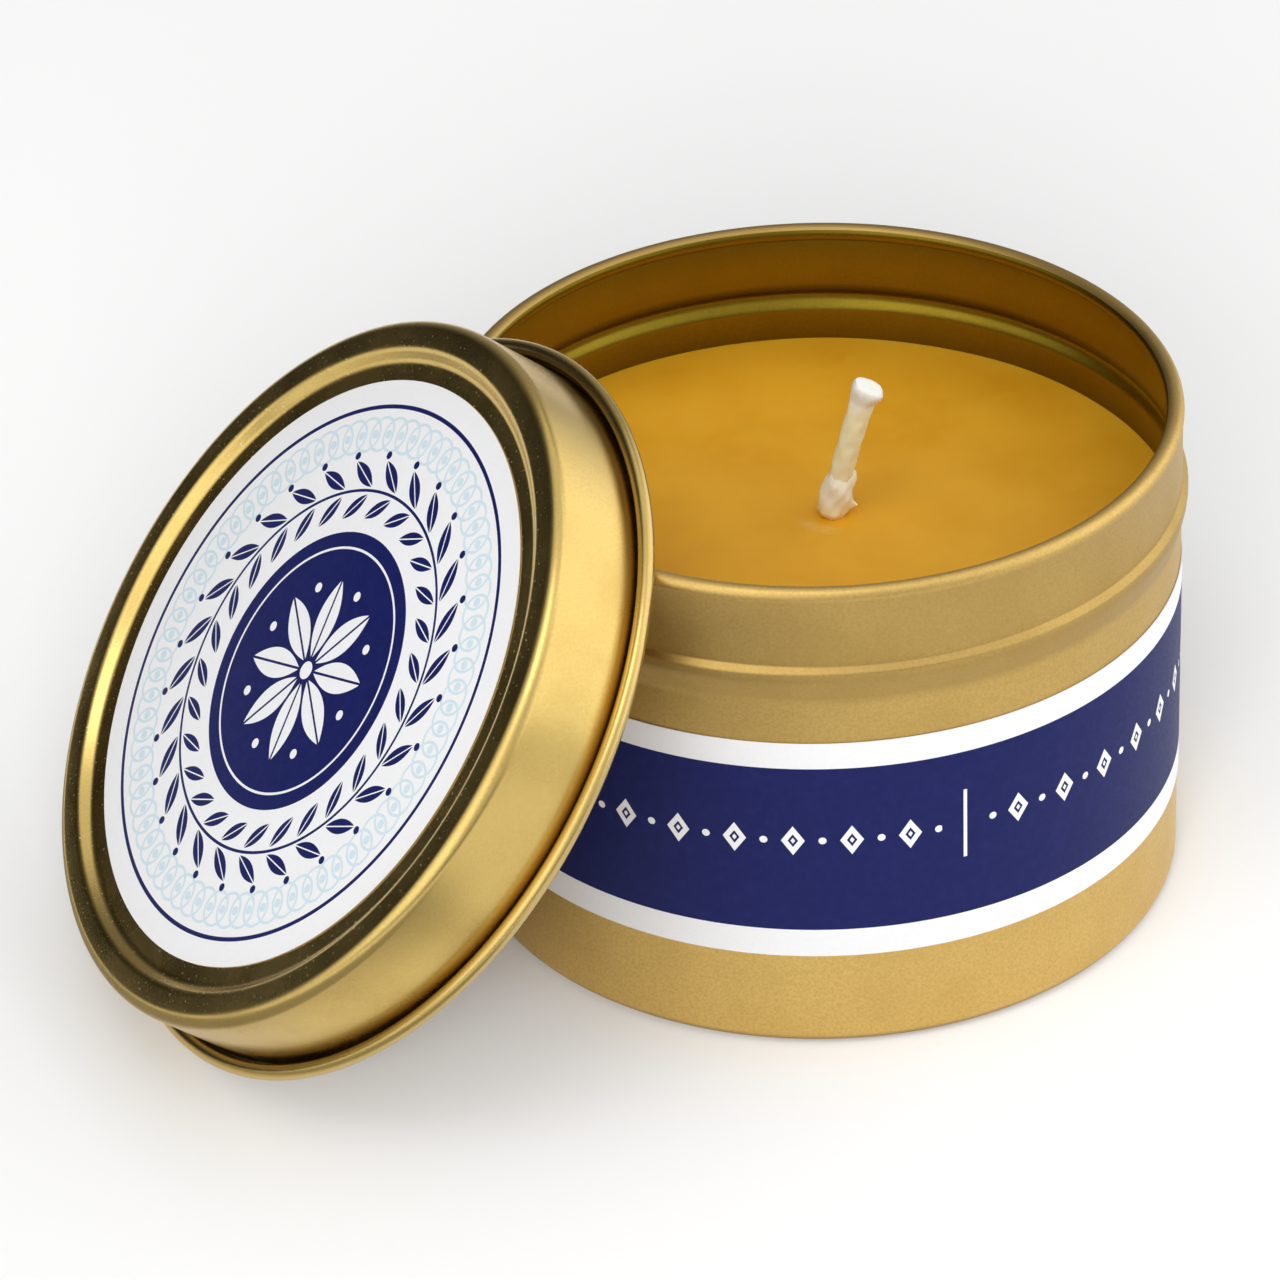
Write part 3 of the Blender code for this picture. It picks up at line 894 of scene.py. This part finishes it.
def wick_cord():
    """A round of yarn drawn up from the tab, leaning over the wax, plaited in relief and cut on a slant."""
    deselect_all()
    bpy.ops.mesh.primitive_circle_add(
        vertices=WICK_SIDES,
        radius=WICK_RADIUS,
        fill_type="NGON",
        location=(WICK_X, WICK_Y, WICK_FOOT),
    )
    cord = bpy.context.object
    cord.name = cord.data.name = "wick_cord"
    bpy.ops.object.transform_apply(location=True, rotation=True, scale=True)
    bpy.ops.object.mode_set(mode="EDIT")
    bpy.ops.mesh.select_all(action="SELECT")
    rise = WAX_LEVEL - WICK_DIP - WICK_FOOT
    bpy.ops.mesh.extrude_region_move(TRANSFORM_OT_translate={"value": (0.0, 0.0, rise)})
    heights = [-WICK_DIP + (WICK_STICK_OUT + WICK_DIP) * k / WICK_RINGS for k in range(WICK_RINGS + 1)]
    for low, high in zip(heights, heights[1:]):
        step = (wick_lean(high) - wick_lean(low), 0.0, high - low)
        bpy.ops.mesh.extrude_region_move(TRANSFORM_OT_translate={"value": step})
    for inset in WICK_TIP_INSETS:
        bpy.ops.mesh.inset(thickness=inset)
    bpy.ops.mesh.select_all(action="SELECT")
    bpy.ops.mesh.normals_make_consistent(inside=False)
    bpy.ops.object.mode_set(mode="OBJECT")
    for point in cord.data.vertices:
        height = point.co.z - WAX_LEVEL
        middle = Vector((WICK_X + wick_lean(height), WICK_Y))
        spoke = point.co.xy - middle
        angle = math.atan2(spoke.y, spoke.x)
        climb = height * math.tau / WICK_PITCH
        plait = max(math.cos(WICK_STRANDS * angle + climb), math.cos(WICK_STRANDS * angle - climb))
        flare = eased(held((height - WICK_FLARE_START) / WICK_FLARE_RUN))
        lopsided = WICK_FLARE_SIDES[0] + WICK_FLARE_SIDES[1] * math.cos(angle)
        swell = 1.0 + (WICK_TIP_RADIUS / WICK_RADIUS - 1.0) * flare * lopsided
        rounding = max(0.0, 1.0 - (WICK_STICK_OUT - height) / WICK_EDGE)
        relief = WICK_RELIEF[0] + WICK_RELIEF[1] * plait
        spoke *= swell * relief * (1.0 - WICK_EDGE_ROUND * rounding**2)
        point.co.x = middle.x + spoke.x
        point.co.y = middle.y + spoke.y
        tip = held((height - WICK_CUT_START) / (WICK_STICK_OUT - WICK_CUT_START))
        point.co.z -= spoke.x * WICK_CUT_SLOPE * tip
    smoothed(cord, 60)
    finished(cord, wick_yarn(), "tin", "wick")


# The wax sleeve round the wick's foot: its section as (radius, height above the wax, rounding) corners,
# the waves of its ragged top as (share, count, shift), those of its lumps as (share, count, climb),
# and the lip and the nib on its right
SLEEVE_BORE = 0.0011
SLEEVE_BOTTOM = -0.0004
SLEEVE_SECTION = (
    (SLEEVE_BORE, SLEEVE_BOTTOM, 0.0),
    (0.0014, SLEEVE_BOTTOM, 0.0),
    (0.00180, 0.0004, 0.0005),
    (0.00178, 0.0022, 0.0010),
    (0.00170, 0.0034, 0.0),
    (0.00160, 0.0039, 0.0003),
    (0.0012, 0.0049, 0.0),
    (SLEEVE_BORE, 0.0044, 0.0),
    (SLEEVE_BORE, SLEEVE_BOTTOM, 0.0),
)
SLEEVE_OUTSIDE = 0.0013
RAGGED_START = 0.0008
RAGGED_RUN = 0.003
RAGGED_RISE = 0.00028
RAGGED_WAVES = ((0.5, 2, 0.6), (0.3, 5, 1.7), (0.2, 9, 0.0))
LUMP_WAVES = ((0.05, 3, 1800), (0.03, 7, -2600))
LIP_OUT = 0.08
LIP_FACING = 0.6
LIP_FACING_RUN = 0.4
LIP_START = 0.7
LIP_RUN = 0.3
NIB_BEARING = math.radians(-12)
NIB_SPREAD = 0.16
NIB_HEIGHT = 0.0010
NIB_TALL = 0.00026
NIB_OUT = 0.0007


def wick_sleeve():
    """Wax that climbed the wick and set: flared at the pool, ragged at its top, with a nib on one side."""
    sleeve = turned("wick_sleeve", rounded(SLEEVE_SECTION), steps=SLEEVE_STEPS)
    select_only(sleeve)
    bpy.ops.object.mode_set(mode="EDIT")
    bpy.ops.mesh.select_all(action="SELECT")
    bpy.ops.mesh.subdivide(number_cuts=2)
    bpy.ops.object.mode_set(mode="OBJECT")
    for point in sleeve.data.vertices:
        angle = math.atan2(point.co.y, point.co.x)
        high = max(0.0, (point.co.z - RAGGED_START) / RAGGED_RUN)
        ragged = sum(share * math.sin(angle * count + shift) for share, count, shift in RAGGED_WAVES)
        if point.co.xy.length > SLEEVE_OUTSIDE:
            lump = 1.0
            for share, count, climb in LUMP_WAVES:
                lump += share * math.sin(angle * count + point.co.z * climb)
            to_right = max(0.0, math.cos(angle) - LIP_FACING) / LIP_FACING_RUN
            lip = LIP_OUT * to_right * max(0.0, high - LIP_START) / LIP_RUN
            beside = (angle - NIB_BEARING) / NIB_SPREAD
            above = (point.co.z - NIB_HEIGHT) / NIB_TALL
            nib = NIB_OUT * math.exp(-(beside**2) - above**2) / point.co.xy.length
            point.co.x *= lump + lip + nib
            point.co.y *= lump + lip + nib
        point.co.z += RAGGED_RISE * ragged * high
        point.co.x += WICK_X + wick_lean(point.co.z)
        point.co.y += WICK_Y
        point.co.z += WAX_LEVEL
    smoothed(sleeve, 70)
    finished(sleeve, wick_wax(), "tin", None)


def side_band():
    """The paper band: nearly once round the wall, its ends a little apart at the back."""
    height = BAND_TOP - BAND_BOTTOM
    line = [(BAND_RADIUS, BAND_BOTTOM + height * k / BAND_POINTS) for k in range(BAND_POINTS + 1)]
    band = turned("side_band", line, BAND_TURN, BAND_STEPS)
    select_only(band)
    band.rotation_euler = (0.0, 0.0, BAND_START)
    bpy.ops.object.transform_apply(location=True, rotation=True, scale=True)
    face_out(band, (BAND_TOP + BAND_BOTTOM) / 2)
    thickened(band, PAPER)
    smoothed(band, 30)
    finish = printed_paper("band_paper_print", UPRIGHT, band_print)
    finished(band, finish, "tin", "side_label")


def lid_disc():
    """The round paper label in the lid's sunk panel."""
    deselect_all()
    low = LID_PANEL_TOP + PAPER_GAP
    bpy.ops.mesh.primitive_circle_add(
        vertices=TURN_STEPS,
        radius=LID_LABEL_RADIUS,
        fill_type="NGON",
        location=(0.0, 0.0, low),
    )
    disc = bpy.context.object
    disc.name = disc.data.name = "lid_disc"
    bpy.ops.object.transform_apply(location=True, rotation=True, scale=True)
    bpy.ops.object.mode_set(mode="EDIT")
    bpy.ops.mesh.select_all(action="SELECT")
    bpy.ops.mesh.extrude_region_move(TRANSFORM_OT_translate={"value": (0.0, 0.0, PAPER)})
    bpy.ops.mesh.bevel(offset=LID_LABEL_EDGE, segments=2)
    bpy.ops.mesh.select_all(action="SELECT")
    bpy.ops.mesh.normals_make_consistent(inside=False)
    bpy.ops.object.mode_set(mode="OBJECT")
    smoothed(disc)
    leaned(disc)
    finish = printed_paper("disc_paper_print", LEANING, lid_print)
    finished(disc, finish, "lid", "lid_label")


def hidden_foot():
    """The wick's tab and its glue dot keep their CAD shapes and get worked finishes."""
    steel = Finish("tab_steel", STEEL, 0.35, Metallic=1.0)
    streak = steel.noise(steel.place(), STEEL_GRAIN, 3.0)
    steel.colour(steel.mix(steel.spread(streak, 0.4, 0.7, 0.0, 0.6), STEEL, STEEL_STREAK))
    steel.roughness(steel.spread(streak, 0.3, 0.7, 0.28, 0.45))
    foam = Finish("dot_foam", FOAM_PLAIN, 0.9)
    cells = foam.noise(foam.place(), FOAM_GRAIN, 2.0)
    foam.colour(foam.mix(foam.spread(cells, 0.4, 0.7, 0.0, 0.7), FOAM, FOAM_CELL))
    foam.bump(cells, FOAM_RELIEF, 0.5)
    for node, finish in (("wick_tab", steel), ("adhesive_dot", foam)):
        slots = frame["nodes"][node].material_slots
        slots[0].material = finish.material


# Camera
CAMERA_PLACE = (0.0, -0.595687, 0.405188)
CAMERA_YAW = -0.03269
CAMERA_PITCH = 0.56623
CAMERA_ROLL = -0.03388
CAMERA_LENS = 182.655
CAMERA_SENSOR = 36.0
CAMERA_NEAR = 0.01


def studio_camera():
    ahead = Vector(
        (
            math.sin(CAMERA_YAW) * math.cos(CAMERA_PITCH),
            math.cos(CAMERA_YAW) * math.cos(CAMERA_PITCH),
            -math.sin(CAMERA_PITCH),
        )
    )
    level = Vector((math.cos(CAMERA_YAW), -math.sin(CAMERA_YAW), 0.0))
    above = level.cross(ahead)
    right = level * math.cos(CAMERA_ROLL) + above * math.sin(CAMERA_ROLL)
    up = above * math.cos(CAMERA_ROLL) - level * math.sin(CAMERA_ROLL)
    deselect_all()
    bpy.ops.object.camera_add(location=CAMERA_PLACE)
    camera = bpy.context.object
    camera.name = "studio_camera"
    camera.rotation_euler = Matrix((right, up, -ahead)).transposed().to_euler()
    camera.data.lens = CAMERA_LENS
    camera.data.sensor_width = CAMERA_SENSOR
    camera.data.clip_start = CAMERA_NEAR
    bpy.context.scene.camera = camera


# Lamps, which light things but are not seen, and the table
OVERHEAD_PLACE = (0.04, -0.04, 0.95)
OVERHEAD_AIM = (0.0, 0.0, 0.03)
OVERHEAD_SIZE = (1.25, 1.25)
OVERHEAD_POWER = 2.5
FILL_PLACE = (-0.1, -2.1, 1.0)
FILL_AIM = (0.0, 0.0, 0.0)
FILL_SIZE = (1.2, 0.8)
FILL_POWER = 46.0
TABLE_SIZE = 4.0


def softbox(name, place, aim, size, power):
    deselect_all()
    bpy.ops.object.light_add(type="AREA", location=place)
    lamp = bpy.context.object
    lamp.name = name
    lamp.rotation_euler = (Vector(aim) - Vector(place)).to_track_quat("-Z", "Y").to_euler()
    lamp.data.shape = "RECTANGLE"
    lamp.data.size, lamp.data.size_y = size
    lamp.data.energy = power
    lamp.visible_camera = False
    lamp.visible_glossy = False
    return lamp


def studio_table():
    deselect_all()
    bpy.ops.mesh.primitive_plane_add(size=TABLE_SIZE, location=(0.0, 0.0, 0.0))
    table = bpy.context.object
    table.name = table.data.name = "studio_table"
    white = Finish("table_white", TABLE_WHITE, 0.85)
    white.shader.inputs["Specular IOR Level"].default_value = 0.1
    table.data.materials.append(white.material)
    return table


# The black sheet of painted dark reflection, seen only in the metal: a ring round the lit part of the table,
# which starts farther out in front of the tin, fades towards the back and the right, and a stretch beyond
# the near edge of the picture
SHEET_SIDES = 96
SHEET_RADIUS = 2.0
SHEET_HEIGHT = 0.0006
NOTCH_MIDDLE = 0.002
NOTCH_HALF = 0.022
RING_START = (0.094, 0.080)
RING_START_FADE = 0.010
RING_END = (0.140, 0.165)
RING_BACK = (0.03, 0.12)
RING_LEFT = (-0.08, -0.02)
RING_RIGHT = (-0.02, 0.01)
SHEET_BEYOND = (-0.31, -0.24)


def reflected_shade_sheet():
    """A black sheet round the lit part of the table, which only the metal mirrors: painted shade in the
    metal's reflections.
    """
    deselect_all()
    bpy.ops.mesh.primitive_circle_add(
        vertices=SHEET_SIDES,
        radius=SHEET_RADIUS,
        fill_type="NGON",
        location=(0.0, 0.0, SHEET_HEIGHT),
    )
    shade_sheet = bpy.context.object
    shade_sheet.name = shade_sheet.data.name = "reflected_shade_sheet"
    bpy.ops.object.transform_apply(location=True, rotation=True, scale=True)
    black = Finish("black_shade_sheet", BLACK, 0.9)
    where = black.place()
    reach, _, _ = black.polar(where)
    split = black.node("ShaderNodeSeparateXYZ")
    black.plug(where, split.inputs["Vector"])
    aside = black.calc("ABSOLUTE", black.calc("SUBTRACT", split.outputs["X"], NOTCH_MIDDLE))
    edge = black.spread(aside, 0.0, NOTCH_HALF, *RING_START)
    inner = black.spread(black.calc("SUBTRACT", reach, edge), 0.0, RING_START_FADE, 0.0, 1.0)
    outer = black.spread(reach, *RING_END, 1.0, 0.0)
    in_front = black.spread(split.outputs["Y"], *RING_BACK, 1.0, 0.0)
    left = black.spread(split.outputs["X"], *RING_LEFT, 0.85, 0.66)
    right = black.spread(split.outputs["X"], *RING_RIGHT, 0.66, 0.08)
    weight = black.calc("MINIMUM", left, right)
    ring = black.calc("MULTIPLY", inner, outer)
    cover = black.calc("MULTIPLY", black.calc("MULTIPLY", ring, in_front), weight)
    beyond = black.spread(split.outputs["Y"], *SHEET_BEYOND, 0.9, 0.0)
    cover = black.calc("MAXIMUM", cover, beyond)
    black.plug(cover, black.shader.inputs["Alpha"])
    shade_sheet.data.materials.append(black.material)
    shade_sheet.visible_camera = False
    shade_sheet.visible_diffuse = False
    shade_sheet.visible_transmission = False
    shade_sheet.visible_shadow = False


# The light tent's panels: heading clockwise from the back and height, the half angles
# inside which a panel is full and outside which it is gone, all in degrees, and its brightness.
# The tent itself is dim, and dark in its opening, which lies in this direction
TENT_PANELS = (
    (82, 10, 30, 60, 1.2),
    (178, 40, 25, 52, 0.42),
    (-135, 20, 10, 46, 1.1),
    (-150, 67, 6, 18, 1.7),
)
TENT_DIM = 0.36
TENT_DARK = 0.02
TENT_OPENING = (-0.80, 0.46, 0.38)
TENT_OPENING_EDGE = (0.55, 0.95)


def light_tent():
    world = bpy.data.worlds.new("light_tent")
    world.use_nodes = True
    tent = NodeSheet(world.node_tree)
    outward = tent.node("ShaderNodeTexCoord").outputs["Generated"]
    bright = tent.spread(tent.facing(outward, TENT_OPENING), *TENT_OPENING_EDGE, TENT_DIM, TENT_DARK)
    for heading, height, full, gone, strength in TENT_PANELS:
        turn, rise = math.radians(heading), math.radians(height)
        towards = (math.sin(turn) * math.cos(rise), math.cos(turn) * math.cos(rise), math.sin(rise))
        edge, core = math.cos(math.radians(gone)), math.cos(math.radians(full))
        panel = tent.spread(tent.facing(outward, towards), edge, core, 0.0, strength)
        bright = tent.calc("ADD", bright, panel)
    background = world.node_tree.nodes["Background"]
    background.inputs["Color"].default_value = (1.0, 1.0, 1.0, 1.0)
    tent.plug(bright, background.inputs["Strength"])
    return world


def studio():
    table = studio_table()
    # Painted shade in the metal's reflections
    reflected_shade_sheet()
    overhead = softbox("softbox_above", OVERHEAD_PLACE, OVERHEAD_AIM, OVERHEAD_SIZE, OVERHEAD_POWER)
    overhead.visible_glossy = True
    fill = softbox("table_fill", FILL_PLACE, FILL_AIM, FILL_SIZE, FILL_POWER)
    only_table = bpy.data.collections.new("table_fill_reach")
    only_table.objects.link(table)
    fill.light_linking.receiver_collection = only_table
    bpy.context.scene.world = light_tent()
    bpy.context.scene.view_settings.view_transform = "Standard"


studio_camera()
tin_shell()
wax_pool()
wick_cord()
wick_sleeve()
side_band()
lid_shell()
lid_disc()
hidden_foot()
studio()
